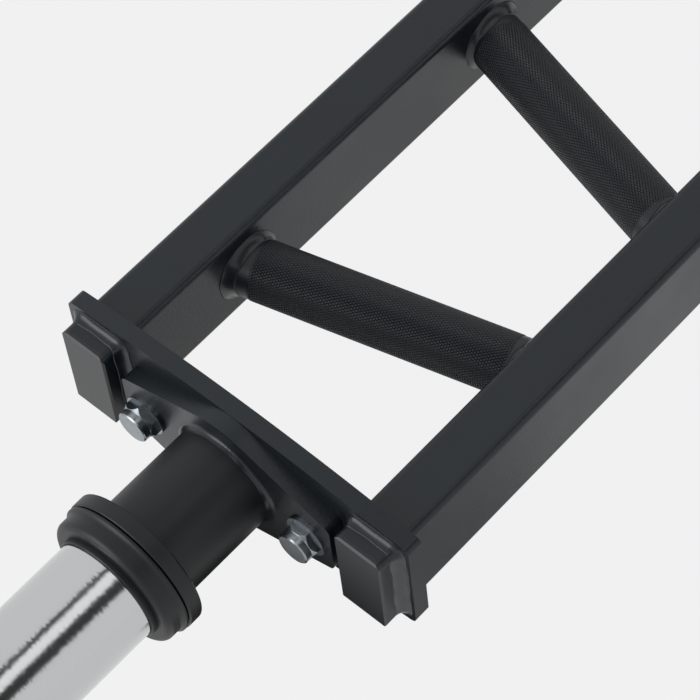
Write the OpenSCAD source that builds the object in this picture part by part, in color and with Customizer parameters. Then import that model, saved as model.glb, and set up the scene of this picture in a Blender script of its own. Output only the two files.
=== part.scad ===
// Swiss bar: two rectangular rails joined by leaning handles, end plates and revolving sleeves.
// X runs along the bar, Y from the front rail to the rear rail, Z up.
// The origin is the bar's centre, on the axis of both sleeves.

/* [Overall] */
// Distance between the two collar gaps
collar_span = 1310; // [1250:5:1400]
// Loading length of each sleeve, outside its collar
load_len = 412; // [300:1:450]

/* [Rails] */
// Width of a rail tube
rail_w = 25; // [20:1:32]
// Height of a rail tube
rail_h = 50; // [44:1:54]
// Wall of a rail tube
rail_wall = 2.5; // [1.5:0.1:3.5]
// Outer corner radius of a rail tube
rail_r = 3.5; // [1:0.1:4]
// Clear width between the two rails
rail_gap = 130; // [122:1:150]
// Length of a rail that stands out in front of the end plate
stub_len = 9; // [6:0.5:20]

/* [Handles] */
// Diameter of a handle tube
grip_d = 28; // [24:0.5:34]
// Wall of a handle tube
grip_wall = 3; // [2:0.5:6]
// Lean of each handle from square
grip_angle = 15; // [0:1:20]
// Distance from one handle's middle to the next
grip_pitch = 128; // [115:1:140]
// Distance from the end plate to the middle of the first handle
first_grip = 84; // [60:1:100]

/* [End plate] */
// Thickness of the end plate
plate_t = 8; // [5:0.5:12]
// How far the end plate stands out beside the rails
plate_side = 6; // [5.5:0.5:12]
// Half height of the end plate at its middle
plate_mid = 34.6; // [34.6:0.2:42]
// Half height of the end plate at its two ends
plate_end = 29; // [28:0.5:34]
// Corner radius of the end plate
plate_r = 3.5; // [2:0.5:5]
// Clearance round a rail where it passes through the end plate
window_fit = 0.2; // [0.1:0.05:0.5]

/* [Flange] */
// Thickness of the flange
flange_t = 8; // [5:0.5:12]
// Radius of the flange round the spigot tube
flange_r = 34.4; // [31:0.2:34.6]
// Half width of the flange
flange_half = 59; // [56:0.5:60]
// Half height of the flange's straight ends
flange_end = 12.5; // [9:0.5:16]
// Corner radius of the flange's ends
flange_corner = 4; // [2:0.5:6]
// Distance of each bolt from the bar's axis
bolt_y = 46; // [43:0.5:47]

/* [Bolts] */
// Bolt diameter
bolt_d = 10; // [8:0.5:10]
// Bolt hole diameter
bolt_hole = 11; // [10.5:0.1:11.5]
// Width of the hex head and the nut across their flats
hex_af = 16; // [15:0.5:17]
// Height of the bolt head
head_h = 8; // [6:0.1:9]
// Height of the bolt head's flats at their middle, below its round crown
head_flat = 4.5; // [3:0.1:5]
// Height of the nut
nut_h = 8; // [6:0.1:10]
// Outer diameter of a washer
washer_d = 20.5; // [18:0.5:21]
// Thickness of a washer
washer_t = 1.8; // [1:0.1:2.5]
// Length of bolt that stands out past the nut
bolt_past = 2; // [1:0.5:6]

/* [Welds] */
// Width of a round weld bead on the tube that stands up
weld_leg = 4.4; // [3:0.1:5]
// Width of the bead between end plate and rail, along the rail
stub_leg = 3.1; // [2.5:0.1:5]
// Width of a weld bead on the plate that carries it
weld_foot = 3.4; // [2.5:0.1:4]
// Thickness of a weld bead at its two toes
weld_toe = 0.2; // [0.2:0.1:0.6]
// The same at the toes of a handle's bead
grip_toe = 0.5; // [0.5:0.1:0.8]
// Radius of a weld bead's hollow face
weld_hollow = 5.5; // [4.5:0.5:9]

/* [End caps] */
// Thickness of an end cap's rim
cap_rim = 2.3; // [2:0.1:5]
// Width of the bevel round an end cap's face
cap_bevel = 0.9; // [0.6:0.1:2]
// Depth of an end cap's ribbed insert
cap_depth = 16; // [12:1:22]
// Clearance of the insert's ribs in the rail
cap_fit = 0.1; // [0.05:0.05:0.2]
// Number of ribs round the insert
cap_ribs = 4; // [2:1:5]

/* [Spigot and fixed collar] */
// Diameter of the spigot tube
spigot_d = 50; // [44:0.5:52]
// Wall of the spigot tube
spigot_wall = 4; // [3:0.5:6]
// Length of spigot tube between flange and fixed collar
spigot_len = 51.2; // [40:0.4:80]
// Diameter of the fixed collar
fixed_collar_d = 68.6; // [60:0.2:69]
// Thickness of the fixed collar
fixed_collar_t = 7.4; // [5:0.2:12]
// Edge radius of the fixed collar
collar_round = 1; // [0.5:0.1:2]
// Gap between the fixed collar and the revolving one
collar_gap = 0.5; // [0.3:0.1:1]

/* [Sleeve] */
// Diameter of the sleeve
sleeve_d = 50; // [49.4:0.1:50.4]
// Wall of the sleeve
sleeve_wall = 5; // [4:0.1:6]
// Diameter of the revolving collar
sleeve_collar_d = 65; // [60:0.5:66]
// Thickness of the revolving collar
sleeve_collar_t = 10.4; // [8:0.1:14]
// Diameter of the revolving collar's lip beside the gap
lip_d = 68; // [67:0.2:69]
// Width of that lip
lip_t = 1.2; // [0.8:0.1:2.5]
// Radius of the flare between the lip and the revolving collar's barrel
flare_r = 2.9; // [2:0.1:4]
// Radius of the revolving collar's front edge
front_round = 3.2; // [1:0.1:4]
// Depth to which the sleeve's seat for its collar is turned down
seat_drop = 0.5; // [0.4:0.1:1]
// Seat that shows in front of the hub, as a relief groove
seat_relief = 0.6; // [0.4:0.1:1.5]
// Diameter of the collar's hub, the ring that stands out of its face round the sleeve
hub_d = 52; // [51:0.2:54]
// Length of that hub
hub_len = 2.6; // [1:0.1:5]
// Thickness of the sleeve's end plug
plug_t = 4; // [2:0.5:8]
// Depth of the end plug inside the sleeve
plug_depth = 6; // [4:0.5:7]
// Bevel at the sleeve's and the end plug's edges
edge_bevel = 1; // [0.5:0.1:1.8]

/* [Shaft and bushes] */
// Diameter of the shaft
shaft_d = 28; // [25:0.5:30]
// Radial clearance of the shaft in its bushes
bush_fit = 0.05; // [0.03:0.01:0.08]
// Length of a bush
bush_len = 40; // [20:1:60]
// Thickness of the thrust washer
thrust_t = 1.5; // [1:0.1:3]
// Thickness of the retaining washer
keeper_t = 2; // [1.5:0.1:3]
// Outer diameter of the retaining washer
keeper_d = 37; // [35:0.5:38]
// End play of the sleeve against the retaining washer
end_play = 0.3; // [0.2:0.05:0.6]
// Thickness of the retaining ring
ring_t = 1.5; // [1:0.1:2]
// Depth of the retaining ring's groove
groove_depth = 1; // [0.6:0.1:1.5]
// Side clearance of the retaining ring in its groove
groove_fit = 0.05; // [0.03:0.01:0.1]
// Radial width of the retaining ring
ring_w = 3.6; // [3:0.1:4.2]
// Opening of the retaining ring
ring_gap = 9; // [6:0.5:12]
// Shaft that stands out past the retaining ring
shaft_past = 2.6; // [2:0.1:4]

/* [Hidden] */
$fn = 96;

// Places along the bar, from a collar gap towards the bar's middle
collar_face = collar_gap / 2;
collar_back = collar_face + fixed_collar_t;
flange_face = collar_back + spigot_len;
plate_face = flange_face + flange_t;
plate_back = plate_face + plate_t;
rail_end = plate_face - stub_len;
rail_len = collar_span - 2 * rail_end;
rail_y = (rail_gap + rail_w) / 2;

// Places along a sleeve, from its collar gap outwards
sleeve_foot = collar_gap / 2;
collar_top = sleeve_foot + sleeve_collar_t;
hub_top = collar_top + hub_len;
sleeve_tip = hub_top + load_len;
bush_1 = sleeve_foot + thrust_t;
shaft_tip = sleeve_tip - plug_depth - 1;
ring_seat = shaft_tip - shaft_past - ring_t - groove_fit;
keeper_foot = ring_seat - keeper_t;
bush_2_top = keeper_foot - end_play;

// The end plate's long edges are arcs through its middle and its two ends
plate_half = rail_gap / 2 + rail_w + plate_side;
plate_sag = plate_mid - plate_end;
plate_arc = (plate_half * plate_half + plate_sag * plate_sag) / (2 * plate_sag);

// Handles lean in turn, the first one towards the bar's middle at the front rail
grip_count = 4;
grip_run = rail_gap / cos(grip_angle) + 2 * grip_d;
grip_foot = rail_gap / 2 * tan(grip_angle);

black_coat = [0.23, 0.235, 0.24];
black_knurl = [0.27, 0.27, 0.28];
black_plastic = [0.16, 0.16, 0.17];
weld_tone = [0.36, 0.37, 0.38];
zinc_tone = [0.8, 0.82, 0.84];
chrome_tone = [0.86, 0.87, 0.88];
steel_tone = [0.6, 0.61, 0.62];
bronze_tone = [0.72, 0.52, 0.27];

function grip_x(i) = plate_back + first_grip + i * grip_pitch;
function grip_lean(i) = i % 2 == 0 ? 1 : -1;

// Moves a piece drawn from the collar gap to the left or right end of the bar
module left_end() {
    translate([-collar_span / 2, 0, 0]) children();
}

module right_end() {
    mirror([1, 0, 0]) left_end() children();
}

// Turns a drawing in the XY plane to face along X, its height along +X from x0
module facing_x(x0) {
    translate([x0, 0, 0]) rotate([90, 0, 90]) children();
}

// The same, but from the collar gap outwards
module outwards(s0) {
    mirror([1, 0, 0]) facing_x(s0) children();
}

module rounded_rect(w, h, r) {
    square([w - 2 * r, h], center = true);
    square([w, h - 2 * r], center = true);
    for (x = [-1, 1], y = [-1, 1]) {
        translate([x * (w / 2 - r), y * (h / 2 - r)]) circle(r = r, $fn = 48);
    }
}

// Half section of a ring with rounded outer edges: bore, outer radius, thickness, edge radius
module ring_section(r_in, r_out, t, edge) {
    translate([r_in, 0]) square([r_out - edge - r_in, t]);
    translate([r_in, edge]) square([r_out - r_in, t - 2 * edge]);
    for (y = [edge, t - edge]) {
        translate([r_out - edge, y]) circle(r = edge, $fn = 48);
    }
}

module ring(r_in, r_out, t) {
    rotate_extrude() translate([r_in, 0]) square([r_out - r_in, t]);
}

// Section of a weld bead: foot along x on the plate, leg along y on the piece, hollow face
module bead_section(leg, toe = weld_toe) {
    across = [weld_foot - toe, leg - toe];
    middle = [weld_foot + toe, leg + toe] / 2;
    reach = sqrt(weld_hollow * weld_hollow - (across * across) / 4);
    out = [across[1], across[0]] / norm(across) * reach;
    difference() {
        polygon([[0, 0], [weld_foot, 0], [weld_foot, toe], [toe, leg], [0, leg]]);
        translate(middle + out) circle(r = weld_hollow);
    }
}

// Bead round a rail's rounded rectangle, standing up from z = 0
module bead_loop(w, h, r) {
    for (turn = [0, 90, 180, 270]) {
        across = turn % 180 == 0 ? w : h;
        along = turn % 180 == 0 ? h : w;
        rotate(turn) {
            translate([across / 2, 0, 0]) rotate([90, 0, 0]) {
                linear_extrude(along - 2 * r, center = true) bead_section(stub_leg);
            }
            translate([across / 2 - r, along / 2 - r, 0]) {
                rotate_extrude(angle = 90, $fn = 48) translate([r, 0]) bead_section(stub_leg);
            }
        }
    }
}

module rail() {
    rotate([90, 0, 90]) linear_extrude(rail_len, center = true) difference() {
        rounded_rect(rail_w, rail_h, rail_r);
        rounded_rect(rail_w - 2 * rail_wall, rail_h - 2 * rail_wall, rail_r / 3);
    }
}

// Offcut outside an arc about the point c, between two directions: taken away, it rounds a corner
module round_off(c, r, a1, a2) {
    far = 3 * r;
    mid = (a1 + a2) / 2;
    difference() {
        polygon([c, c + far * [cos(a1), sin(a1)], c + 2 * far * [cos(mid), sin(mid)],
            c + far * [cos(a2), sin(a2)]]);
        translate(c) circle(r = r);
    }
}

module plate_outline() {
    y = plate_half - plate_r;
    z = plate_mid - plate_arc + sqrt(pow(plate_arc - plate_r, 2) - y * y);
    lean = atan2(z - plate_mid + plate_arc, y);
    difference() {
        intersection() {
            square([2 * plate_half, 3 * plate_mid], center = true);
            translate([0, plate_mid - plate_arc]) circle(r = plate_arc, $fn = 720);
            translate([0, plate_arc - plate_mid]) circle(r = plate_arc, $fn = 720);
        }
        for (side = [0, 1], down = [0, 1]) {
            mirror([side, 0]) mirror([0, down]) round_off([y, z], plate_r, 0, lean);
        }
    }
}

module bolt_places() {
    for (y = [-1, 1]) {
        translate([y * bolt_y, 0]) children();
    }
}

module end_plate() {
    window = 2 * window_fit;
    facing_x(plate_face) linear_extrude(plate_t) difference() {
        plate_outline();
        for (y = [-1, 1]) {
            translate([y * rail_y, 0]) rounded_rect(rail_w + window, rail_h + window, rail_r);
        }
        bolt_places() circle(d = bolt_hole);
    }
}

// Lozenge: flanks that touch an arc round the spigot tube and the arcs of the four end corners
module flange_outline() {
    cy = flange_half - flange_corner;
    tilt = atan2(flange_end, cy) + acos((flange_r - flange_corner) / norm([cy, flange_end]));
    crest = flange_r / sin(tilt);
    ends = (flange_r - flange_half * cos(tilt)) / sin(tilt);
    difference() {
        polygon([[0, crest], [flange_half, ends], [flange_half, -ends],
            [0, -crest], [-flange_half, -ends], [-flange_half, ends]]);
        for (down = [0, 1]) {
            mirror([0, down]) {
                round_off([0, 0], flange_r, tilt, 180 - tilt, $fn = 180);
                round_off([cy, flange_end], flange_corner, 0, tilt);
                mirror([1, 0]) round_off([cy, flange_end], flange_corner, 0, tilt);
            }
        }
    }
}

module flange() {
    facing_x(flange_face) linear_extrude(flange_t) difference() {
        flange_outline();
        circle(d = shaft_d);
        bolt_places() circle(d = bolt_hole);
    }
}

// Hex head whose corners run out into a round crown
module bolt_head() {
    corner_r = hex_af / sqrt(3);
    crown_r = hex_af / 2 - 0.1;
    intersection() {
        cylinder(r = corner_r, h = head_h, $fn = 6);
        rotate_extrude() {
            polygon([[0, 0], [corner_r, 0], [corner_r, head_flat - 2], [crown_r, head_flat],
                [crown_r, head_h - 0.6], [crown_r - 0.6, head_h], [0, head_h]]);
        }
    }
}

// The two bolts were tightened to different turns
module bolts() {
    grip = washer_t + flange_t + plate_t + nut_h + bolt_past;
    facing_x(flange_face - washer_t) for (side = [-1, 1]) {
        translate([side * bolt_y, 0]) {
            rotate(12 + 18 * side) mirror([0, 0, 1]) bolt_head();
            cylinder(d = bolt_d, h = grip);
        }
    }
}

module washers() {
    facing_x(flange_face - washer_t) bolt_places() ring(bolt_d / 2 + 0.25, washer_d / 2, washer_t);
}

// Hex nuts, the corners turned off at both ends
module nuts() {
    flat_r = hex_af / 2 * 0.95;
    corner_r = hex_af / sqrt(3);
    drop = (corner_r - flat_r) * tan(30);
    facing_x(plate_back) bolt_places() difference() {
        intersection() {
            cylinder(r = corner_r, h = nut_h, $fn = 6);
            rotate_extrude() {
                polygon([[0, 0], [flat_r, 0], [corner_r, drop], [corner_r, nut_h - drop],
                    [flat_r, nut_h], [0, nut_h]]);
            }
        }
        translate([0, 0, -1]) cylinder(d = bolt_d + 0.04, h = nut_h + 2);
    }
}

module stub_welds() {
    for (y = [-1, 1]) {
        outwards(-plate_face) translate([y * rail_y, 0, 0]) bead_loop(rail_w, rail_h, rail_r);
    }
}

module rim_section(w) {
    flat = w / 2 - cap_bevel;
    edge = cap_rim - cap_bevel;
    polygon([[-w / 2, 0], [w / 2, 0], [w / 2, edge], [flat, cap_rim], [-flat, cap_rim], [-w / 2, edge]]);
}

module end_cap(y) {
    inner_w = rail_w - 2 * rail_wall - 2 * cap_fit;
    inner_h = rail_h - 2 * rail_wall - 2 * cap_fit;
    core_inset = 2.4;
    core_wall = 1.6;
    rib_t = 1;
    rib_step = (cap_depth - rib_t) / (cap_ribs - 0.5);
    facing_x(rail_end) translate([y, 0, 0]) {
        linear_extrude(cap_depth) difference() {
            rounded_rect(inner_w - core_inset, inner_h - core_inset, 1);
            rounded_rect(inner_w - core_inset - 2 * core_wall, inner_h - core_inset - 2 * core_wall, 0.5);
        }
        for (i = [0 : cap_ribs - 1]) {
            translate([0, 0, (i + 0.5) * rib_step]) linear_extrude(rib_t) difference() {
                rounded_rect(inner_w, inner_h, 1);
                rounded_rect(inner_w - core_inset - core_wall, inner_h - core_inset - core_wall, 1);
            }
        }
        mirror([0, 0, 1]) intersection() {
            linear_extrude(cap_rim) rounded_rect(rail_w, rail_h, rail_r);
            rotate([90, 0, 0]) linear_extrude(2 * rail_h, center = true) rim_section(rail_w);
            rotate([90, 0, 90]) linear_extrude(2 * rail_w, center = true) rim_section(rail_h);
        }
    }
}

module spigot_tube() {
    facing_x(collar_back) ring(spigot_d / 2 - spigot_wall, spigot_d / 2, spigot_len);
}

module spigot_weld() {
    outwards(-flange_face) rotate_extrude() translate([spigot_d / 2, 0]) bead_section(weld_leg);
}

module fixed_collar() {
    facing_x(collar_face) rotate_extrude() {
        ring_section(shaft_d / 2, fixed_collar_d / 2, fixed_collar_t, collar_round);
    }
}

module shaft() {
    r = shaft_d / 2;
    neck = r - groove_depth;
    groove_top = ring_seat + ring_t + 2 * groove_fit;
    outwards(0) rotate_extrude() {
        polygon([[0, -plate_face], [r, -plate_face], [r, ring_seat], [neck, ring_seat],
            [neck, groove_top], [r, groove_top], [r, shaft_tip - 1], [r - 1, shaft_tip], [0, shaft_tip]]);
    }
}

module retaining_washer() {
    outwards(keeper_foot) ring(shaft_d / 2 + bush_fit, keeper_d / 2, keeper_t);
}

// Open ring with two eyelets beside its opening
module retaining_ring() {
    r = shaft_d / 2 - groove_depth;
    eye = 1.9;
    eye_angle = asin((ring_gap / 2 + eye) / (r + ring_w / 2));
    outwards(ring_seat + groove_fit) linear_extrude(ring_t) difference() {
        union() {
            circle(r = r + ring_w - 1.2);
            for (turn = [-1, 1]) {
                rotate(turn * eye_angle) translate([0, r + ring_w / 2]) circle(r = eye, $fn = 32);
            }
        }
        circle(r = r);
        translate([-ring_gap / 2, 0]) square([ring_gap, 2 * r]);
        for (turn = [-1, 1]) {
            rotate(turn * eye_angle) translate([0, r + ring_w / 2]) circle(r = eye / 2, $fn = 32);
        }
    }
}

// Tube with a turned seat for its collar
module sleeve() {
    r = sleeve_d / 2;
    bore = r - sleeve_wall;
    seat = r - seat_drop;
    step = hub_top + seat_relief;
    outwards(0) rotate_extrude() {
        polygon([[bore, sleeve_foot], [seat, sleeve_foot], [seat, step], [r, step],
            [r, sleeve_tip - edge_bevel], [r - edge_bevel, sleeve_tip], [bore, sleeve_tip]]);
    }
}

// Revolving collar: a lip beside the gap, flared down to the barrel, a rounded front edge and a hub
module sleeve_collar() {
    r = sleeve_d / 2 - seat_drop;
    barrel = sleeve_collar_d / 2;
    lip = lip_d / 2;
    hub = hub_d / 2;
    step = lip - barrel;
    flare_len = sqrt(flare_r * flare_r - pow(flare_r - step, 2));
    front = collar_top - front_round;
    outwards(0) rotate_extrude() {
        polygon([[r, sleeve_foot], [lip - 0.4, sleeve_foot], [lip, sleeve_foot + 0.4],
            [lip, sleeve_foot + lip_t], [barrel, sleeve_foot + lip_t], [barrel, front],
            [barrel - front_round, front], [barrel - front_round, collar_top], [hub, collar_top],
            [hub, hub_top - 0.4], [hub - 0.4, hub_top], [r, hub_top]]);
        translate([barrel - front_round, front]) intersection() {
            circle(r = front_round, $fn = 48);
            square(front_round + 1);
        }
        translate([barrel - 1, sleeve_foot + lip_t]) difference() {
            square([step + 1, flare_len]);
            translate([flare_r + 1, flare_len]) circle(r = flare_r, $fn = 48);
        }
    }
}

module thrust_washer() {
    outwards(sleeve_foot) ring(shaft_d / 2 + 0.3, sleeve_d / 2 - sleeve_wall - 0.1, thrust_t);
}

module bush(s0) {
    outwards(s0) ring(shaft_d / 2 + bush_fit, sleeve_d / 2 - sleeve_wall, bush_len);
}

module end_plug() {
    r = sleeve_d / 2;
    bore = r - sleeve_wall;
    outwards(sleeve_tip) rotate_extrude() {
        polygon([[0, 1], [bore - 3, 1], [bore - 3, -plug_depth], [bore, -plug_depth], [bore, 0], [r - 1, 0],
            [r, 1], [r, plug_t - edge_bevel], [r - edge_bevel, plug_t], [bore - 4, plug_t],
            [bore - 6, plug_t - 1], [0, plug_t - 1]]);
    }
}

// One handle tube, trimmed flush with the inner faces of both rails
module grip(i) {
    translate([grip_x(i), 0, 0]) intersection() {
        rotate([90, 0, grip_lean(i) * grip_angle]) difference() {
            cylinder(d = grip_d, h = grip_run, center = true);
            cylinder(d = grip_d - 2 * grip_wall, h = grip_run + 2, center = true);
        }
        cube([2 * grip_run, rail_gap, 2 * grip_d], center = true);
    }
}

// Bead round one handle's foot; side is 1 at the rear rail and -1 at the front rail
module grip_weld(i, side) {
    lean = side * grip_lean(i);
    shift = lean * weld_leg / 2 * tan(grip_angle);
    translate([grip_x(i) - lean * grip_foot, side * rail_gap / 2, 0]) rotate([side * 90, 0, 0]) difference() {
        translate([shift, 0, 0]) rotate_extrude() {
            square([grip_d / 2 + 0.3, weld_leg]);
            translate([grip_d / 2 + 0.3, 0]) bead_section(weld_leg, grip_toe);
        }
        rotate([0, lean * grip_angle, 0]) cylinder(d = grip_d, h = 4 * grip_d, center = true);
    }
}

module grip_weld_row(side) {
    for (i = [0 : grip_count - 1]) {
        left_end() grip_weld(i, side);
        right_end() grip_weld(i, side);
    }
}

module front_rail() { color(black_coat) translate([0, -rail_y, 0]) rail(); }
module rear_rail() { color(black_coat) translate([0, rail_y, 0]) rail(); }
module left_end_plate() { color(black_coat) left_end() end_plate(); }
module right_end_plate() { color(black_coat) right_end() end_plate(); }
module left_grip_widest() { color(black_knurl) left_end() grip(0); }
module left_grip_wide() { color(black_knurl) left_end() grip(1); }
module left_grip_narrow() { color(black_knurl) left_end() grip(2); }
module left_grip_narrowest() { color(black_knurl) left_end() grip(3); }
module right_grip_widest() { color(black_knurl) right_end() grip(0); }
module right_grip_wide() { color(black_knurl) right_end() grip(1); }
module right_grip_narrow() { color(black_knurl) right_end() grip(2); }
module right_grip_narrowest() { color(black_knurl) right_end() grip(3); }
module front_grip_welds() { color(weld_tone) grip_weld_row(-1); }
module rear_grip_welds() { color(weld_tone) grip_weld_row(1); }
module left_stub_welds() { color(weld_tone) left_end() stub_welds(); }
module right_stub_welds() { color(weld_tone) right_end() stub_welds(); }
module left_front_cap() { color(black_plastic) left_end() end_cap(-rail_y); }
module left_rear_cap() { color(black_plastic) left_end() end_cap(rail_y); }
module right_front_cap() { color(black_plastic) right_end() end_cap(-rail_y); }
module right_rear_cap() { color(black_plastic) right_end() end_cap(rail_y); }
module left_flange() { color(black_coat) left_end() flange(); }
module right_flange() { color(black_coat) right_end() flange(); }
module left_flange_bolts() { color(zinc_tone) left_end() bolts(); }
module right_flange_bolts() { color(zinc_tone) right_end() bolts(); }
module left_flange_washers() { color(zinc_tone) left_end() washers(); }
module right_flange_washers() { color(zinc_tone) right_end() washers(); }
module left_flange_nuts() { color(zinc_tone) left_end() nuts(); }
module right_flange_nuts() { color(zinc_tone) right_end() nuts(); }
module left_spigot_tube() { color(black_coat) left_end() spigot_tube(); }
module right_spigot_tube() { color(black_coat) right_end() spigot_tube(); }
module left_spigot_weld() { color(weld_tone) left_end() spigot_weld(); }
module right_spigot_weld() { color(weld_tone) right_end() spigot_weld(); }
module left_fixed_collar() { color(black_coat) left_end() fixed_collar(); }
module right_fixed_collar() { color(black_coat) right_end() fixed_collar(); }
module left_shaft() { color(steel_tone) left_end() shaft(); }
module right_shaft() { color(steel_tone) right_end() shaft(); }
module left_retaining_washer() { color(steel_tone) left_end() retaining_washer(); }
module right_retaining_washer() { color(steel_tone) right_end() retaining_washer(); }
module left_retaining_ring() { color(steel_tone) left_end() retaining_ring(); }
module right_retaining_ring() { color(steel_tone) right_end() retaining_ring(); }
module left_sleeve() { color(chrome_tone) left_end() sleeve(); }
module right_sleeve() { color(chrome_tone) right_end() sleeve(); }
module left_sleeve_collar() { color(black_coat) left_end() sleeve_collar(); }
module right_sleeve_collar() { color(black_coat) right_end() sleeve_collar(); }
module left_thrust_washer() { color(bronze_tone) left_end() thrust_washer(); }
module right_thrust_washer() { color(bronze_tone) right_end() thrust_washer(); }
module left_inner_bush() { color(bronze_tone) left_end() bush(bush_1); }
module right_inner_bush() { color(bronze_tone) right_end() bush(bush_1); }
module left_outer_bush() { color(bronze_tone) left_end() bush(bush_2_top - bush_len); }
module right_outer_bush() { color(bronze_tone) right_end() bush(bush_2_top - bush_len); }
module left_end_plug() { color(chrome_tone) left_end() end_plug(); }
module right_end_plug() { color(chrome_tone) right_end() end_plug(); }

front_rail();
rear_rail();
left_end_plate();
right_end_plate();
left_grip_widest();
left_grip_wide();
left_grip_narrow();
left_grip_narrowest();
right_grip_widest();
right_grip_wide();
right_grip_narrow();
right_grip_narrowest();
front_grip_welds();
rear_grip_welds();
left_stub_welds();
right_stub_welds();
left_front_cap();
left_rear_cap();
right_front_cap();
right_rear_cap();
left_flange();
right_flange();
left_flange_bolts();
right_flange_bolts();
left_flange_washers();
right_flange_washers();
left_flange_nuts();
right_flange_nuts();
left_spigot_tube();
right_spigot_tube();
left_spigot_weld();
right_spigot_weld();
left_fixed_collar();
right_fixed_collar();
left_shaft();
right_shaft();
left_retaining_washer();
right_retaining_washer();
left_retaining_ring();
right_retaining_ring();
left_sleeve();
right_sleeve();
left_sleeve_collar();
right_sleeve_collar();
left_thrust_washer();
right_thrust_washer();
left_inner_bush();
right_inner_bush();
left_outer_bush();
right_outer_bush();
left_end_plug();
right_end_plug();
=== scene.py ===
# Swiss bar seen from above its left end: rails, leaning handles, bolted end plates and revolving sleeves.
# Every length is in metres in the part's own frame: X along the bar, Y towards the rear rail, Z up.
import math

import bmesh
import bpy
from mathutils import Matrix, Quaternion, Vector


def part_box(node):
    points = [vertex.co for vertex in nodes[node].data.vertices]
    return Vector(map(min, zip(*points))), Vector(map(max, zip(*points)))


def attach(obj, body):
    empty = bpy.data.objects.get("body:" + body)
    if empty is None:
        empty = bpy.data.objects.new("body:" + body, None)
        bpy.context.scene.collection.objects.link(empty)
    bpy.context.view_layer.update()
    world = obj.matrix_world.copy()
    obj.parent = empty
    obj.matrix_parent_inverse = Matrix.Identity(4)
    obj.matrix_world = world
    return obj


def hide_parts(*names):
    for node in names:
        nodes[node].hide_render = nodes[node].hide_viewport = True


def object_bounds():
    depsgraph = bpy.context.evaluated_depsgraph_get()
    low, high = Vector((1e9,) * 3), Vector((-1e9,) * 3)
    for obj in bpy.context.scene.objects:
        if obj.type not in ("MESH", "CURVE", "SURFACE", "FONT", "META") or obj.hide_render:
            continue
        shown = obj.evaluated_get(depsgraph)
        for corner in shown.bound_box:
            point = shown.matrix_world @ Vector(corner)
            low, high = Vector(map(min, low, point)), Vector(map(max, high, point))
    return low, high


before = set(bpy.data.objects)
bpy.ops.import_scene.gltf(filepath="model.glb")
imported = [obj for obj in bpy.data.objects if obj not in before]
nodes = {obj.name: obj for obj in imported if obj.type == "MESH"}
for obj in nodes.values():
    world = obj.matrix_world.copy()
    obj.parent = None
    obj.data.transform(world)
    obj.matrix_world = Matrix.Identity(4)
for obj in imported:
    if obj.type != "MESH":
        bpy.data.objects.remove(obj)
cad_box = [list(corner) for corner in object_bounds()]

# Camera
# A long lens looks down on the left end plate from the front, turned a little clockwise. It was fitted to
# the photograph by pixel centres, which is why it is shifted by half a pixel.
camera_place = Vector((-1.0133, -0.5541, 1.1307))
camera_aim = Vector((-0.51826, 0.00062, 0.0))
camera_roll = math.radians(7.52)
sensor_width = 36.0
focal_length = 163.65
picture_pixels = 700
half_pixel = 0.5 / picture_pixels

lens = bpy.data.cameras.new("camera")
lens.sensor_width = sensor_width
lens.lens = focal_length
lens.shift_x = -half_pixel
lens.shift_y = half_pixel
camera = bpy.data.objects.new("camera", lens)
bpy.context.scene.collection.objects.link(camera)
looking = (camera_aim - camera_place).to_track_quat("-Z", "Y")
rolled = looking @ Quaternion((0, 0, 1), -camera_roll)
camera.matrix_world = Matrix.Translation(camera_place) @ rolled.to_matrix().to_4x4()
bpy.context.scene.camera = camera
bpy.context.scene.view_settings.view_transform = "Standard"


# Floor, white surround and lamps
# A pale studio sweep lies far enough below the bar for a soft shadow, in an even white surround. A long
# strip lamp hangs overhead in front of a dark cloth, and a small lamp lights the left end from the side.
# Two dark cards below the left end are painted shade, standing in reflections for the floor's shade there.
def linear(code):
    """Linear RGBA of an sRGB hex value such as "#f1f1f1"."""
    shares = [int(code[i:i + 2], 16) / 255 for i in (1, 3, 5)]
    return [s / 12.92 if s <= 0.04045 else ((s + 0.055) / 1.055) ** 2.4 for s in shares] + [1.0]


def add(tree, kind, inputs=None, **settings):
    """Adds a node; inputs gives values or sockets by the input's name or number."""
    node = tree.nodes.new(kind)
    for name, value in settings.items():
        setattr(node, name, value)
    for name, value in (inputs or {}).items():
        if isinstance(value, bpy.types.NodeSocket):
            tree.links.new(value, node.inputs[name])
        else:
            node.inputs[name].default_value = value
    return node


def seen_directly(tree):
    """1 for rays that show the backdrop: from the camera, off metal or through glass."""
    ray = add(tree, "ShaderNodeLightPath")
    mirrored = add(tree, "ShaderNodeMath", {0: ray.outputs["Is Camera Ray"], 1: ray.outputs["Is Glossy Ray"]},
                   operation="MAXIMUM")
    return add(tree, "ShaderNodeMath", {0: mirrored.outputs[0], 1: ray.outputs["Is Transmission Ray"]},
               operation="MAXIMUM").outputs[0]


def new_material(name):
    """An empty material and its node tree."""
    material = bpy.data.materials.new(name)
    material.use_nodes = True
    material.node_tree.nodes.clear()
    return material, material.node_tree


def piece(name, mesh, material=None):
    """An object at the origin that holds the mesh."""
    if material:
        mesh.materials.clear()
        mesh.materials.append(material)
    made = bpy.data.objects.new(name, mesh)
    bpy.context.scene.collection.objects.link(made)
    return made


backdrop_white = linear("#f1f1f1")
floor_drop = 0.55
floor_reach = 9.0
floor_own_glow = 0.95
surround_white = [0.985, 1.0, 1.015, 1.0]
surround_strength = 0.83

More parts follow.
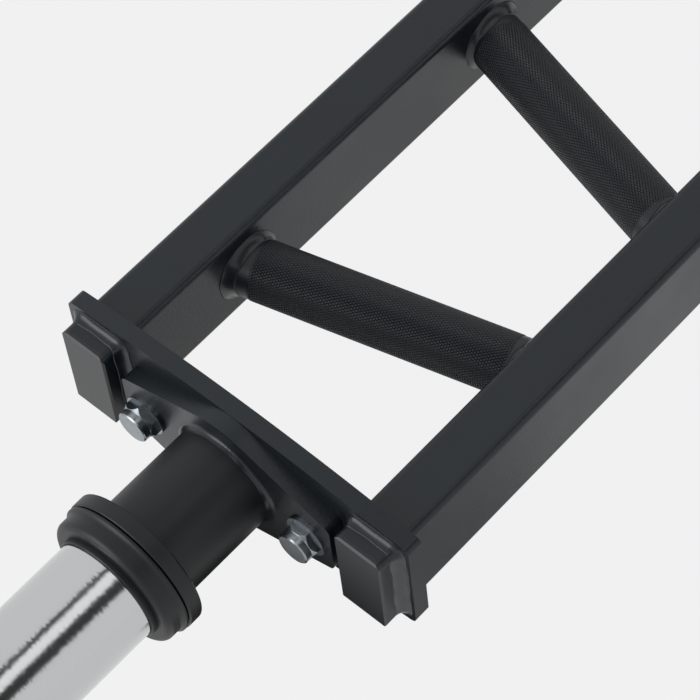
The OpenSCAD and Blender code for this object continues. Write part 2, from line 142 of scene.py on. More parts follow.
floor_mesh = bpy.data.meshes.new("floor")
floor_level = cad_box[0][2] - floor_drop
floor_mesh.from_pydata(
    [(x * floor_reach, y * floor_reach, floor_level) for x, y in ((-1, -1), (1, -1), (1, 1), (-1, 1))],
    [], [(0, 1, 2, 3)])
floor_paper, tree = new_material("matt white paper sweep")
lit = add(tree, "ShaderNodeBsdfDiffuse", {"Color": backdrop_white})
glow = add(tree, "ShaderNodeEmission", {"Color": backdrop_white, "Strength": 1.0})
direct = add(tree, "ShaderNodeMath", {0: seen_directly(tree), 1: floor_own_glow}, operation="MULTIPLY")
paper = add(tree, "ShaderNodeMixShader", {0: direct.outputs[0], 1: lit.outputs[0], 2: glow.outputs[0]})
add(tree, "ShaderNodeOutputMaterial", {"Surface": paper.outputs[0]})
floor = piece("floor", floor_mesh, floor_paper)

world = bpy.data.worlds.new("white surround")
bpy.context.scene.world = world
world.use_nodes = True
tree = world.node_tree
tree.nodes.clear()
even = add(tree, "ShaderNodeBackground", {"Color": surround_white, "Strength": surround_strength})
shown = add(tree, "ShaderNodeBackground", {"Color": backdrop_white, "Strength": 1.0})
sky = add(tree, "ShaderNodeMixShader", {0: seen_directly(tree), 1: even.outputs[0], 2: shown.outputs[0]})
add(tree, "ShaderNodeOutputWorld", {"Surface": sky.outputs[0]})

# Angles are from straight up towards the front, seen from the bar's axis
strip_angle = math.radians(15.0)
strip_distance = 1.7
strip_width = 0.6
strip_length = 4.0
strip_power = 8.8
cloth_edges = (math.radians(-5.5), math.radians(48.0))
cloth_distance = 2.4
cloth_half_length = 3.2
# The side lamp's way is from a point in the left spigot tube, and the cards' X edges are from there too
left_end_inset = 0.46
side_lamp_way = Vector((-0.836, 0.41, 0.366))
side_lamp_distance = 0.8
side_lamp_size = 0.5
side_lamp_power = 3.0
# Two dark cards lie level below the end as painted shade, standing in reflections for the floor's shade under
# the bar: each one's left, front, right and back edges, and its height
painted_shade_cards = {
    "painted_shadow_card_near": (-0.02, -0.085, 0.04, 0.045, -0.08),
    "painted_shade_card_floor": (0.2, -0.43, 0.36, -0.23, -0.57)}


def area_lamp(name, place, turn, size, size_across, power):
    """A rectangular studio lamp, which shines straight down when its turn is 0."""
    data = bpy.data.lights.new(name, "AREA")
    data.shape = "RECTANGLE"
    data.size = size
    data.size_y = size_across
    data.energy = power
    made = bpy.data.objects.new(name, data)
    bpy.context.scene.collection.objects.link(made)
    made.location = place
    made.rotation_euler = turn
    made.visible_camera = False


strip_place = Vector((0, -math.sin(strip_angle) * strip_distance, math.cos(strip_angle) * strip_distance))
area_lamp("strip lamp", strip_place, (strip_angle, 0, 0), strip_length, strip_width, strip_power)
left_end_place = Vector((cad_box[0][0] + left_end_inset, 0, 0))
side_lamp_place = left_end_place + side_lamp_way * side_lamp_distance
side_lamp_turn = (left_end_place - side_lamp_place).to_track_quat("-Z", "Y").to_euler()
area_lamp("side lamp", side_lamp_place, side_lamp_turn, side_lamp_size, side_lamp_size, side_lamp_power)

# The cloth and the cards, which are painted shade, show only in reflections: they shade nothing, and the
# camera doesn't see them
black_cloth_and_shade, tree = new_material("black studio cloth and painted shade")
cloth = add(tree, "ShaderNodeBsdfDiffuse", {"Color": linear("#3c3c3c")})
add(tree, "ShaderNodeOutputMaterial", {"Surface": cloth.outputs[0]})
near, far = cloth_edges
cloth_and_shade_sheets = {"dark_strip": [
    (x * cloth_half_length, -math.sin(a) * cloth_distance, math.cos(a) * cloth_distance)
    for x, a in ((-1, near), (1, near), (1, far), (-1, far))]}
# Painted shade: each card darkens the reflected floor where the bar's shade would fall on it
for name, (left, front, right, back, level) in painted_shade_cards.items():
    cloth_and_shade_sheets[name] = [(left_end_place.x + x, y, level)
                    for x, y in ((left, front), (right, front), (right, back), (left, back))]
for name, corners in cloth_and_shade_sheets.items():
    dark_sheet_mesh = bpy.data.meshes.new(name)
    dark_sheet_mesh.from_pydata(corners, [], [(0, 1, 2, 3)])
    dark_sheet = piece(name, dark_sheet_mesh, black_cloth_and_shade)
    dark_sheet.visible_camera = False
    dark_sheet.visible_diffuse = False
    dark_sheet.visible_shadow = False


# Rails, end plates and flanges
# Rectangular steel tube and cut plate, sprayed together with black powder coat that is baked on:
# a satin skin with a fine orange peel, a little uneven in gloss.
def finish_nodes(names, material):
    """Gives CAD nodes a material in place of the plain one that they carry."""
    for name in names:
        for material_slot in nodes[name].material_slots:
            material_slot.material = material


MM = 0.001
ENDS = ("left", "right")
coat_black = linear("#0f1519")
coat_black_worn = linear("#161d22")
coat_roughness = (0.31, 0.38)
coat_peel_size = 0.9 * MM
coat_cloud_size = 40 * MM
# Most of a noise texture's values lie between these two
noise_low = 0.3
noise_high = 0.7

powder_coat, tree = new_material("black powder coat on steel")
place = add(tree, "ShaderNodeTexCoord")
peel = add(tree, "ShaderNodeTexNoise", {"Vector": place.outputs["Object"], "Scale": 1 / coat_peel_size,
                                        "Detail": 2.0})
clouds = add(tree, "ShaderNodeTexNoise", {"Vector": place.outputs["Object"], "Scale": 1 / coat_cloud_size,
                                          "Detail": 3.0})
tone = add(tree, "ShaderNodeMix", {"Factor": clouds.outputs["Fac"], "A": coat_black, "B": coat_black_worn},
           data_type="RGBA")
gloss = add(tree, "ShaderNodeMapRange", {"Value": clouds.outputs["Fac"], "From Min": noise_low,
                                         "From Max": noise_high, "To Min": coat_roughness[0],
                                         "To Max": coat_roughness[1]})
skin = add(tree, "ShaderNodeBump", {"Height": peel.outputs["Fac"], "Strength": 1.0, "Distance": 0.1 * MM})
coat = add(tree, "ShaderNodeBsdfPrincipled", {"Base Color": tone.outputs["Result"],
                                              "Roughness": gloss.outputs[0], "Normal": skin.outputs[0],
                                              "IOR": 1.43})
add(tree, "ShaderNodeOutputMaterial", {"Surface": coat.outputs[0]})
finish_nodes(["front_rail", "rear_rail"], powder_coat)
finish_nodes([f"{end}_{name}" for end in ENDS for name in ("end_plate", "flange")], powder_coat)

# Handles
# Steel tube whose gripping length is knurled by two crossing wheels, then coated with the frame. It looks
# duller than the rails, as its diamonds scatter the light. Each is a blunt pyramid, and the ends are plain.
HANDLES = ("widest", "wide", "narrow", "narrowest")
handle_radius = 14.0 * MM
handle_lean = math.radians(15.0)
knurl_around = 63
knurl_step = 1.2 * MM
knurl_rows = 100
# The wheels push the steel up, so the diamonds' feet lie just inside the tube and their tops outside it
knurl_sink = 0.05 * MM
knurl_depth = 0.3 * MM
knurl_foot = handle_radius - knurl_sink
# The share of a diamond that is left at its top, and the way from the last row to the plain end
knurl_top = 0.48
knurl_edge = 0.8 * MM
knurl_peel_size = 0.5 * MM
# Points this near are made one: first at the rolled sheet's seam, then in the middle of the closed ends
seam_join = 0.02 * MM
axis_join = 0.004 * MM

knurled_coat, tree = new_material("black powder coat on knurled steel")
place = add(tree, "ShaderNodeTexCoord")
peel = add(tree, "ShaderNodeTexNoise", {"Vector": place.outputs["Object"], "Scale": 1 / knurl_peel_size,
                                        "Detail": 2.0})
skin = add(tree, "ShaderNodeBump", {"Height": peel.outputs["Fac"], "Strength": 0.15, "Distance": 0.05 * MM})
coat = add(tree, "ShaderNodeBsdfPrincipled", {"Base Color": linear("#161b1f"), "Roughness": 0.42,
                                              "Normal": skin.outputs[0], "IOR": 1.45})
add(tree, "ShaderNodeOutputMaterial", {"Surface": coat.outputs[0]})

knurl = bpy.data.node_groups.new("knurled handle", "GeometryNodeTree")
knurl_inputs = {
    "Geometry": "Geometry", "Radius": "Float", "Around": "Int", "Rows": "Int", "Row Step": "Float",
    "Depth": "Float", "Top Share": "Float", "Plain Radius": "Float", "Edge": "Float", "Half Gap": "Float",
    "Lean": "Float", "Middle": "Vector", "Material": "Material"}
for name, kind in knurl_inputs.items():
    knurl.interface.new_socket(name, in_out="INPUT", socket_type="NodeSocket" + kind)
knurl.interface.new_socket("Geometry", in_out="OUTPUT", socket_type="NodeSocketGeometry")
size = add(knurl, "NodeGroupInput").outputs

# One diamond per point, laid out flat: every other row is moved by half a diamond
count = add(knurl, "ShaderNodeMath", {0: size["Around"], 1: size["Rows"]}, operation="MULTIPLY")
dots = add(knurl, "GeometryNodePoints", {"Count": count.outputs[0]})
index = add(knurl, "GeometryNodeInputIndex")
row_share = add(knurl, "ShaderNodeMath", {0: index.outputs[0], 1: size["Around"]}, operation="DIVIDE")
row = add(knurl, "ShaderNodeMath", {0: row_share.outputs[0]}, operation="FLOOR")
column = add(knurl, "ShaderNodeMath", {0: index.outputs[0], 1: size["Around"]}, operation="MODULO")
odd = add(knurl, "ShaderNodeMath", {0: row.outputs[0], 1: 2.0}, operation="MODULO")
column_moved = add(knurl, "ShaderNodeMath", {0: odd.outputs[0], 1: 0.5, 2: column.outputs[0]},
                   operation="MULTIPLY_ADD")
girth = add(knurl, "ShaderNodeMath", {0: size["Radius"], 1: 2 * math.pi}, operation="MULTIPLY")
pitch = add(knurl, "ShaderNodeMath", {0: girth.outputs[0], 1: size["Around"]}, operation="DIVIDE")
across = add(knurl, "ShaderNodeMath", {0: column_moved.outputs[0], 1: pitch.outputs[0]}, operation="MULTIPLY")
last_row = add(knurl, "ShaderNodeMath", {0: size["Rows"], 1: 1.0}, operation="SUBTRACT")
row_centred = add(knurl, "ShaderNodeMath", {0: last_row.outputs[0], 1: -0.5, 2: row.outputs[0]},
                  operation="MULTIPLY_ADD")
along = add(knurl, "ShaderNodeMath", {0: row_centred.outputs[0], 1: size["Row Step"]}, operation="MULTIPLY")
spot = add(knurl, "ShaderNodeCombineXYZ", {"X": across.outputs[0], "Y": along.outputs[0]})
laid = add(knurl, "GeometryNodeSetPosition", {"Geometry": dots.outputs[0], "Position": spot.outputs[0]})
diamond = add(knurl, "GeometryNodeMeshCircle", {"Vertices": 4, "Radius": 1.0}, fill_type="NGON")
half_pitch = add(knurl, "ShaderNodeMath", {0: pitch.outputs[0], 1: 0.5}, operation="MULTIPLY")
diamond_size = add(knurl, "ShaderNodeCombineXYZ", {"X": half_pitch.outputs[0], "Y": size["Row Step"],
                                                   "Z": 1.0})
diamonds = add(knurl, "GeometryNodeInstanceOnPoints", {"Points": laid.outputs[0],
                                                       "Instance": diamond.outputs[0],
                                                       "Scale": diamond_size.outputs[0]})
sheet = add(knurl, "GeometryNodeRealizeInstances", {"Geometry": diamonds.outputs[0]})

# The sheet is rolled round the Y axis, its seam joined, and every diamond raised to a blunt top
flat = add(knurl, "GeometryNodeInputPosition")
flat_parts = add(knurl, "ShaderNodeSeparateXYZ", {0: flat.outputs[0]})
turn = add(knurl, "ShaderNodeMath", {0: flat_parts.outputs["X"], 1: size["Radius"]}, operation="DIVIDE")
turn_sin = add(knurl, "ShaderNodeMath", {0: turn.outputs[0]}, operation="SINE")
turn_cos = add(knurl, "ShaderNodeMath", {0: turn.outputs[0]}, operation="COSINE")
round_x = add(knurl, "ShaderNodeMath", {0: turn_sin.outputs[0], 1: size["Radius"]}, operation="MULTIPLY")
round_z = add(knurl, "ShaderNodeMath", {0: turn_cos.outputs[0], 1: size["Radius"]}, operation="MULTIPLY")
rolled_spot = add(knurl, "ShaderNodeCombineXYZ", {"X": round_x.outputs[0], "Y": flat_parts.outputs["Y"],
                                                  "Z": round_z.outputs[0]})
rolled_sheet = add(knurl, "GeometryNodeSetPosition", {"Geometry": sheet.outputs[0],
                                                      "Position": rolled_spot.outputs[0]})
joined = add(knurl, "GeometryNodeMergeByDistance", {"Geometry": rolled_sheet.outputs[0],
                                                    "Distance": seam_join})
raised = add(knurl, "GeometryNodeExtrudeMesh", {"Mesh": joined.outputs[0], "Offset Scale": size["Depth"],
                                                "Individual": True}, mode="FACES")
blunt = add(knurl, "GeometryNodeScaleElements", {"Geometry": raised.outputs["Mesh"],
                                                 "Selection": raised.outputs["Top"],
                                                 "Scale": size["Top Share"]})

# Plain ends: the open edge is drawn out to a ring, then to the rail's face, then closed
here = add(knurl, "GeometryNodeInputPosition")
here_parts = add(knurl, "ShaderNodeSeparateXYZ", {0: here.outputs[0]})
side = add(knurl, "ShaderNodeMath", {0: here_parts.outputs["Y"]}, operation="SIGN")
radial = add(knurl, "ShaderNodeCombineXYZ", {"X": here_parts.outputs["X"], "Z": here_parts.outputs["Z"]})
radial_unit = add(knurl, "ShaderNodeVectorMath", {0: radial.outputs[0]}, operation="NORMALIZE")
plain = add(knurl, "ShaderNodeVectorMath", {0: radial_unit.outputs[0], "Scale": size["Plain Radius"]},
            operation="SCALE")
plain_parts = add(knurl, "ShaderNodeSeparateXYZ", {0: plain.outputs[0]})
half_rows = add(knurl, "ShaderNodeMath", {0: size["Rows"], 1: 0.5}, operation="MULTIPLY")
half_knurl = add(knurl, "ShaderNodeMath", {0: half_rows.outputs[0], 1: size["Row Step"], 2: size["Edge"]},
                 operation="MULTIPLY_ADD")
ring_y = add(knurl, "ShaderNodeMath", {0: half_knurl.outputs[0], 1: side.outputs[0]}, operation="MULTIPLY")
ring_spot = add(knurl, "ShaderNodeCombineXYZ", {"X": plain_parts.outputs["X"], "Y": ring_y.outputs[0],
                                                "Z": plain_parts.outputs["Z"]})
lean_sin = add(knurl, "ShaderNodeMath", {0: size["Lean"]}, operation="SINE")
lean_cos = add(knurl, "ShaderNodeMath", {0: size["Lean"]}, operation="COSINE")
face_y = add(knurl, "ShaderNodeMath", {0: size["Half Gap"], 1: side.outputs[0]}, operation="MULTIPLY")
off_axis = add(knurl, "ShaderNodeMath", {0: plain_parts.outputs["X"], 1: lean_sin.outputs[0]},
               operation="MULTIPLY")
to_face = add(knurl, "ShaderNodeMath", {0: face_y.outputs[0], 1: off_axis.outputs[0]}, operation="SUBTRACT")
trim_y = add(knurl, "ShaderNodeMath", {0: to_face.outputs[0], 1: lean_cos.outputs[0]}, operation="DIVIDE")
trim_spot = add(knurl, "ShaderNodeCombineXYZ", {"X": plain_parts.outputs["X"], "Y": trim_y.outputs[0],
                                                "Z": plain_parts.outputs["Z"]})
axis_y = add(knurl, "ShaderNodeMath", {0: face_y.outputs[0], 1: lean_cos.outputs[0]}, operation="DIVIDE")
axis_spot = add(knurl, "ShaderNodeCombineXYZ", {"Y": axis_y.outputs[0]})
shape = blunt.outputs[0]
for spot_node in (ring_spot, trim_spot, axis_spot):
    borders = add(knurl, "GeometryNodeInputMeshEdgeNeighbors")
    is_open = add(knurl, "FunctionNodeCompare", {"A": borders.outputs[0], "B": 1},
                  data_type="INT", operation="EQUAL")
    drawn = add(knurl, "GeometryNodeExtrudeMesh", {"Mesh": shape, "Selection": is_open.outputs[0],
                                                   "Offset Scale": 0.0}, mode="EDGES")
    moved = add(knurl, "GeometryNodeSetPosition", {"Geometry": drawn.outputs["Mesh"],
                                                   "Selection": drawn.outputs["Top"],
                                                   "Position": spot_node.outputs[0]})
    shape = moved.outputs[0]
closed = add(knurl, "GeometryNodeMergeByDistance", {"Geometry": shape, "Distance": axis_join})
upright = add(knurl, "ShaderNodeCombineXYZ", {"Z": size["Lean"]})
placed = add(knurl, "GeometryNodeTransform", {"Geometry": closed.outputs[0], "Translation": size["Middle"],
                                              "Rotation": upright.outputs[0]})
whole = add(knurl, "GeometryNodeRealizeInstances", {"Geometry": placed.outputs[0]})
coated = add(knurl, "GeometryNodeSetMaterial", {"Geometry": whole.outputs[0], "Material": size["Material"]})
add(knurl, "NodeGroupOutput", {"Geometry": coated.outputs[0]})


def face_outwards(mesh):
    """Turns every face of a closed mesh outwards."""
    work = bmesh.new()
    work.from_mesh(mesh)
    bmesh.ops.recalc_face_normals(work, faces=work.faces)
    work.to_mesh(mesh)
    work.free()


def grown(name, tree, values, body):
    """A plain mesh piece made by a Geometry Nodes tree with the given named inputs."""
    seed = piece(name + "_seed", bpy.data.meshes.new(name + "_seed"))
    modifier = seed.modifiers.new("shape", "NODES")
    modifier.node_group = tree
    for item in tree.interface.items_tree:
        if item.item_type == "SOCKET" and item.in_out == "INPUT" and item.name in values:
            modifier[item.identifier] = values[item.name]
    bpy.context.view_layer.update()
    evaluated = seed.evaluated_get(bpy.context.evaluated_depsgraph_get())
    mesh = bpy.data.meshes.new_from_object(evaluated)
    seed.modifiers.clear()
    bpy.data.objects.remove(seed)
    face_outwards(mesh)
    made = piece(name, mesh)
    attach(made, body)
    return made


def lean_of(end, place_in_row):
    """A handle's turn about Z: neighbours lean opposite ways, and the right half mirrors the left."""
    return handle_lean * (-1) ** place_in_row * (1 if end == "left" else -1)


for end in ENDS:
    for place_in_row, width in enumerate(HANDLES):
        node = f"{end}_grip_{width}"
        low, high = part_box(node)
        handle = grown(f"{end}_{width}_handle", knurl, {
            "Radius": knurl_foot, "Around": knurl_around, "Rows": knurl_rows, "Row Step": knurl_step,
            "Depth": knurl_depth, "Top Share": knurl_top, "Plain Radius": handle_radius, "Edge": knurl_edge,
            "Half Gap": high.y, "Lean": lean_of(end, place_in_row), "Middle": (low + high) / 2,
            "Material": knurled_coat}, "frame")
        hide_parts(node)

# Weld beads
# Arc-welded fillets between handles and rails, rails and end plates, and tube and flange. The melted
# steel set in fine ripples and was coated with the frame, so the beads shine a little more.
bead_steps = 9
# A bead's face bends towards its inner corner: half is a flat face, and less is a hollow one
handle_hollow = 0.3
end_hollow = 0.14
spigot_hollow = 0.06
# Foot along the face that carries the bead, then leg up the tube
handle_bead = (3.6 * MM, 5.2 * MM)
stub_bead_side = (4.7 * MM, 5.4 * MM)
stub_bead_top = (3.7 * MM, 4.4 * MM)
spigot_bead = (2.9 * MM, 2.9 * MM)
bead_sink = 0.06 * MM
# Each slow swell of a bead's size: its share, how often it comes round the bead, and its start
bead_swells = ((0.05, 5, 1.3), (0.03, 11, 0.0))
ripple_pitch = 2.1 * MM
ripple_height = 0.03 * MM
# How many pitches a ripple bows back at the middle of the face, and the share of its height that goes into
# the foot and into the leg, as the face slopes at about 45 degrees
ripple_bow = 0.9
ripple_slant = 0.7
spatter_size = 0.8 * MM

weld_coat, tree = new_material("black powder coat on weld metal")
place = add(tree, "ShaderNodeTexCoord")
spatter = add(tree, "ShaderNodeTexNoise", {"Vector": place.outputs["Object"], "Scale": 1 / spatter_size,
                                           "Detail": 2.0})
tone = add(tree, "ShaderNodeMix", {"Factor": spatter.outputs["Fac"], "A": linear("#111519"),
                                   "B": linear("#1a1f23")}, data_type="RGBA")
skin = add(tree, "ShaderNodeBump", {"Height": spatter.outputs["Fac"], "Strength": 0.3,
                                    "Distance": 0.08 * MM})
coat = add(tree, "ShaderNodeBsdfPrincipled", {"Base Color": tone.outputs["Result"], "Roughness": 0.28,
                                              "Normal": skin.outputs[0], "IOR": 1.44})
add(tree, "ShaderNodeOutputMaterial", {"Surface": coat.outputs[0]})


def bead_rings(path, hollow):
    """Points and faces of a closed bead; each place has its corner, way out, way up, foot and leg."""
    points, faces, run = [], [], 0.0
    total = len(path)
    for number, (corner, out, up, foot, leg) in enumerate(path):
        swell = 1.0
        for share, times, start in bead_swells:
            swell += share * math.sin(math.tau * times * number / total + start)
        foot, leg = foot * swell, leg * (2 - swell)
        for step in range(bead_steps + 1):
            t = step / bead_steps
            away = foot * ((1 - t) ** 2 + 2 * t * (1 - t) * hollow)
            along = leg * (t ** 2 + 2 * t * (1 - t) * hollow)
            bow = ripple_bow * ripple_pitch * 4 * t * (1 - t)
            ripple = ripple_height * abs(math.sin(math.pi * (run + bow) / ripple_pitch)) * 4 * t * (1 - t)
            away += ripple_slant * ripple - bead_sink * t
            along += ripple_slant * ripple - bead_sink * (1 - t)
            points.append(corner + out * away + up * along)
        points.append(corner - out * bead_sink - up * bead_sink)
        run += (path[(number + 1) % total][0] - corner).length
    ring = bead_steps + 2
    for number in range(total):
        here, there = number * ring, (number + 1) % total * ring
        faces += [(here + k, here + (k + 1) % ring, there + (k + 1) % ring, there + k) for k in range(ring)]
    return points, faces


def weld_beads(name, paths, body, hollow):
    """One piece holding the bead of each path, smooth shaded."""
    points, faces = [], []
    for path in paths:
        more, more_faces = bead_rings(path, hollow)
        faces += [tuple(index + len(points) for index in face) for face in more_faces]
        points += more
    mesh = bpy.data.meshes.new(name)
    mesh.from_pydata(points, [], faces)
    face_outwards(mesh)
    mesh.polygons.foreach_set("use_smooth", [True] * len(mesh.polygons))
    made = piece(name, mesh, weld_coat)
    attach(made, body)
    return made


knurl_half = (knurl_rows / 2) * knurl_step + knurl_edge
handle_bead_places = 300
bead_clearance = 0.3 * MM


def handle_joint(middle, lean, side, face):
    """Where a leaning tube meets a rail's face: an ellipse. The bead's leg stops short of the knurl."""
    axis = Vector((-math.sin(lean), math.cos(lean), 0))
    across = Vector((math.cos(lean), math.sin(lean), 0))
    foot, leg = handle_bead
    path = []
    for number in range(handle_bead_places):
        a = math.tau * number / handle_bead_places
        to_face = (face - handle_radius * math.cos(a) * math.sin(lean) * side) / math.cos(lean)
        way = math.cos(a) * across + math.sin(a) * Vector((0, 0, 1))
        corner = middle + handle_radius * way + side * to_face * axis
        out = Vector((math.cos(a) * math.cos(lean), 0, math.sin(a))).normalized()
        path.append((corner, out, -side * axis, foot, min(leg, to_face - knurl_half - bead_clearance)))
    return path


for side, rail in ((1, "rear"), (-1, "front")):
    paths = []
    for end in ENDS:
        for place_in_row, width in enumerate(HANDLES):
            low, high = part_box(f"{end}_grip_{width}")
            paths.append(handle_joint((low + high) / 2, lean_of(end, place_in_row), side, high.y))
    beads = weld_beads(f"{rail}_handle_beads", paths, "frame", handle_hollow)
    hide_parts(f"{rail}_grip_welds")

rail_corner_radius = 3.5 * MM
corner_places = 12
stub_bead_step = 0.5 * MM
spigot_bead_places = 480


def rail_outline(middle, half_width, half_height):
    """Places round a rounded rectangle in the YZ plane, with the way out at each."""
    places = []
    for turn, (wide, high) in enumerate(((half_width, half_height), (half_height, half_width)) * 2):
        quarter = Matrix.Rotation(turn * math.pi / 2, 3, "X")
        flat = high - rail_corner_radius
        for number in range(round(2 * flat / stub_bead_step)):
            across = Vector((0, wide, number * stub_bead_step - flat))
            places.append((middle + quarter @ across, quarter @ Vector((0, 1, 0))))
        for number in range(corner_places):
            a = number * math.pi / (2 * corner_places)
            way = Vector((0, math.cos(a), math.sin(a)))
            centre = Vector((0, wide - rail_corner_radius, flat))
            places.append((middle + quarter @ (centre + way * rail_corner_radius), quarter @ way))
    return places


for end, outwards in (("left", Vector((-1, 0, 0))), ("right", Vector((1, 0, 0)))):
    plate_low, plate_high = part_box(f"{end}_end_plate")
    plate_face = plate_low.x if end == "left" else plate_high.x
    paths = []
    for rail in ("front", "rear"):
        low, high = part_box(f"{rail}_rail")
        middle = Vector((plate_face, (low.y + high.y) / 2, (low.z + high.z) / 2))
        path = []
        for corner, out in rail_outline(middle, (high.y - low.y) / 2, (high.z - low.z) / 2):
            sideways = out.y ** 2
            foot, leg = (at_side * sideways + at_top * (1 - sideways)
                         for at_side, at_top in zip(stub_bead_side, stub_bead_top))
            path.append((corner, out, outwards, foot, leg))
        paths.append(path)
    beads = weld_beads(f"{end}_stub_beads", paths, "frame", end_hollow)
    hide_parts(f"{end}_stub_welds")

    low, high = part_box(f"{end}_flange")
    tube_low, tube_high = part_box(f"{end}_spigot_tube")
    tube_radius = (tube_high.z - tube_low.z) / 2
    middle = Vector((low.x if end == "left" else high.x, 0, 0))
    path = []
    for number in range(spigot_bead_places):
        a = math.tau * number / spigot_bead_places
        out = Vector((0, math.cos(a), math.sin(a)))
        path.append((middle + out * tube_radius, out, outwards, *spigot_bead))
    beads = weld_beads(f"{end}_spigot_bead", [path], "frame", spigot_hollow)
    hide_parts(f"{end}_spigot_weld")

# End caps
# Ribbed polyethylene plugs pushed into the rails. The moulded face is dull from a fine spark-eroded grain,
# which is drawn coarser than it is so that it shows.
grain_size = 0.45 * MM

cap_plastic, tree = new_material("moulded black polyethylene")
place = add(tree, "ShaderNodeTexCoord")
grain = add(tree, "ShaderNodeTexNoise", {"Vector": place.outputs["Object"], "Scale": 1 / grain_size,
                                         "Detail": 2.0})
skin = add(tree, "ShaderNodeBump", {"Height": grain.outputs["Fac"], "Strength": 0.15, "Distance": 0.04 * MM})
coat = add(tree, "ShaderNodeBsdfPrincipled", {"Base Color": linear("#13161a"), "Roughness": 0.4,
                                              "Normal": skin.outputs[0], "IOR": 1.51})
add(tree, "ShaderNodeOutputMaterial", {"Surface": coat.outputs[0]})
finish_nodes([f"{end}_{rail}_cap" for end in ENDS for rail in ("front", "rear")], cap_plastic)

# Bolts, washers and nuts
# Cold-forged steel with bright blue-passivated zinc plating, slightly uneven from the forging.
forging_size = 1.6 * MM

zinc_plate, tree = new_material("bright zinc plated steel")
place = add(tree, "ShaderNodeTexCoord")
forge = add(tree, "ShaderNodeTexNoise", {"Vector": place.outputs["Object"], "Scale": 1 / forging_size,
                                         "Detail": 3.0})
skin = add(tree, "ShaderNodeBump", {"Height": forge.outputs["Fac"], "Strength": 0.35, "Distance": 0.12 * MM})
tint = add(tree, "ShaderNodeMix", {"Factor": forge.outputs["Fac"], "A": linear("#777f86"),
                                   "B": linear("#a8aeb2")}, data_type="RGBA")
plate = add(tree, "ShaderNodeBsdfPrincipled", {"Base Color": tint.outputs["Result"], "Metallic": 1.0,
                                               "Roughness": 0.3, "Normal": skin.outputs[0]})
add(tree, "ShaderNodeOutputMaterial", {"Surface": plate.outputs[0]})
finish_nodes([f"{end}_flange_{name}" for end in ENDS for name in ("bolts", "washers", "nuts")], zinc_plate)

# Spigot tubes and collars
# Turned steel under a smooth thin black coat: darker, smoother and duller than the frame's powder coat.
turned_peel_size = 1.4 * MM

turned_coat, tree = new_material("smooth black coat on turned steel")
place = add(tree, "ShaderNodeTexCoord")
peel = add(tree, "ShaderNodeTexNoise", {"Vector": place.outputs["Object"], "Scale": 1 / turned_peel_size,
                                        "Detail": 2.0})
skin = add(tree, "ShaderNodeBump", {"Height": peel.outputs["Fac"], "Strength": 0.08, "Distance": 0.05 * MM})
coat = add(tree, "ShaderNodeBsdfPrincipled", {"Base Color": linear("#0e1114"), "Roughness": 0.46,
                                              "Normal": skin.outputs[0], "IOR": 1.44})
add(tree, "ShaderNodeOutputMaterial", {"Surface": coat.outputs[0]})
finish_nodes([f"{end}_{name}" for end in ENDS for name in ("spigot_tube", "fixed_collar", "sleeve_collar")],
             turned_coat)

# Shafts, retaining washers and rings
# Turned steel inside the sleeves, bare and lightly oiled. The wave texture draws about three cuts in the
# length below, so they are coarser than a lathe leaves them.
three_cuts = 2.2 * MM

turned_steel, tree = new_material("turned bare steel")
place = add(tree, "ShaderNodeTexCoord")
cuts = add(tree, "ShaderNodeTexWave", {"Vector": place.outputs["Object"], "Scale": 1 / three_cuts,
                                       "Distortion": 0.4}, bands_direction="X")
skin = add(tree, "ShaderNodeBump", {"Height": cuts.outputs["Fac"], "Strength": 0.1, "Distance": 0.03 * MM})
steel = add(tree, "ShaderNodeBsdfPrincipled", {"Base Color": linear("#a9abac"), "Metallic": 1.0,
                                               "Roughness": 0.32, "Normal": skin.outputs[0]})
add(tree, "ShaderNodeOutputMaterial", {"Surface": steel.outputs[0]})
finish_nodes([f"{end}_{name}" for end in ENDS for name in ("shaft", "retaining_washer", "retaining_ring")],
             turned_steel)

# Bushes and thrust washers
# Pressed and sintered bronze, open-grained and soaked with oil. The pores are drawn coarser than they are.
pore_size = 0.35 * MM

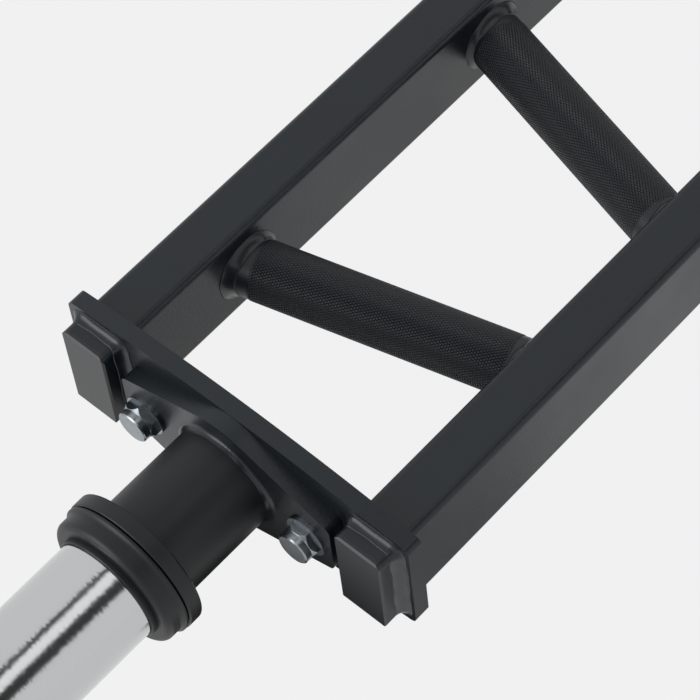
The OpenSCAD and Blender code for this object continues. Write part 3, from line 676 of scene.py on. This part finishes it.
sintered_bronze, tree = new_material("sintered bronze")
place = add(tree, "ShaderNodeTexCoord")
pores = add(tree, "ShaderNodeTexVoronoi", {"Vector": place.outputs["Object"], "Scale": 1 / pore_size})
skin = add(tree, "ShaderNodeBump", {"Height": pores.outputs["Distance"], "Strength": 0.3,
                                    "Distance": 0.04 * MM})
bronze = add(tree, "ShaderNodeBsdfPrincipled", {"Base Color": linear("#b98a4d"), "Metallic": 1.0,
                                                "Roughness": 0.42, "Normal": skin.outputs[0]})
add(tree, "ShaderNodeOutputMaterial", {"Surface": bronze.outputs[0]})
finish_nodes([f"{end}_{name}" for end in ENDS for name in ("inner_bush", "outer_bush", "thrust_washer")],
             sintered_bronze)

# Sleeves and end plugs
# Ground steel tube with bright chrome. The grinding runs round the tube and makes reflections ragged; it is
# drawn coarser than it is so that it shows.
grinding_size = (0.3 * MM, 3.0 * MM, 3.0 * MM)
grinding_tilt = (0.02, 0.12, 0.12)
# Taken from the noise's colour, so that it tilts the surface both ways
noise_middle = (0.5, 0.5, 0.5)
haze_size = 30 * MM
chrome_roughness = (0.14, 0.17)

chrome, tree = new_material("bright chrome on ground steel")
place = add(tree, "ShaderNodeTexCoord")
stretched = add(tree, "ShaderNodeMapping", {"Vector": place.outputs["Object"],
                                            "Scale": tuple(1 / length for length in grinding_size)})
grind = add(tree, "ShaderNodeTexNoise", {"Vector": stretched.outputs[0], "Scale": 1.0, "Detail": 0.0})
surface = add(tree, "ShaderNodeNewGeometry")
tilt = add(tree, "ShaderNodeVectorMath", {0: grind.outputs["Color"], 1: noise_middle}, operation="SUBTRACT")
tilted = add(tree, "ShaderNodeVectorMath", {0: tilt.outputs[0], 1: grinding_tilt,
                                            2: surface.outputs["Normal"]}, operation="MULTIPLY_ADD")
skin = add(tree, "ShaderNodeVectorMath", {0: tilted.outputs[0]}, operation="NORMALIZE")
haze = add(tree, "ShaderNodeTexNoise", {"Vector": place.outputs["Object"], "Scale": 1 / haze_size,
                                        "Detail": 2.0})
gloss = add(tree, "ShaderNodeMapRange", {"Value": haze.outputs["Fac"], "From Min": noise_low,
                                         "From Max": noise_high, "To Min": chrome_roughness[0],
                                         "To Max": chrome_roughness[1]})
plating = add(tree, "ShaderNodeBsdfPrincipled", {"Base Color": linear("#c6c8c9"), "Metallic": 1.0,
                                                 "Roughness": gloss.outputs[0], "Normal": skin.outputs[0]})
add(tree, "ShaderNodeOutputMaterial", {"Surface": plating.outputs[0]})
finish_nodes([f"{end}_{name}" for end in ENDS for name in ("sleeve", "end_plug")], chrome)
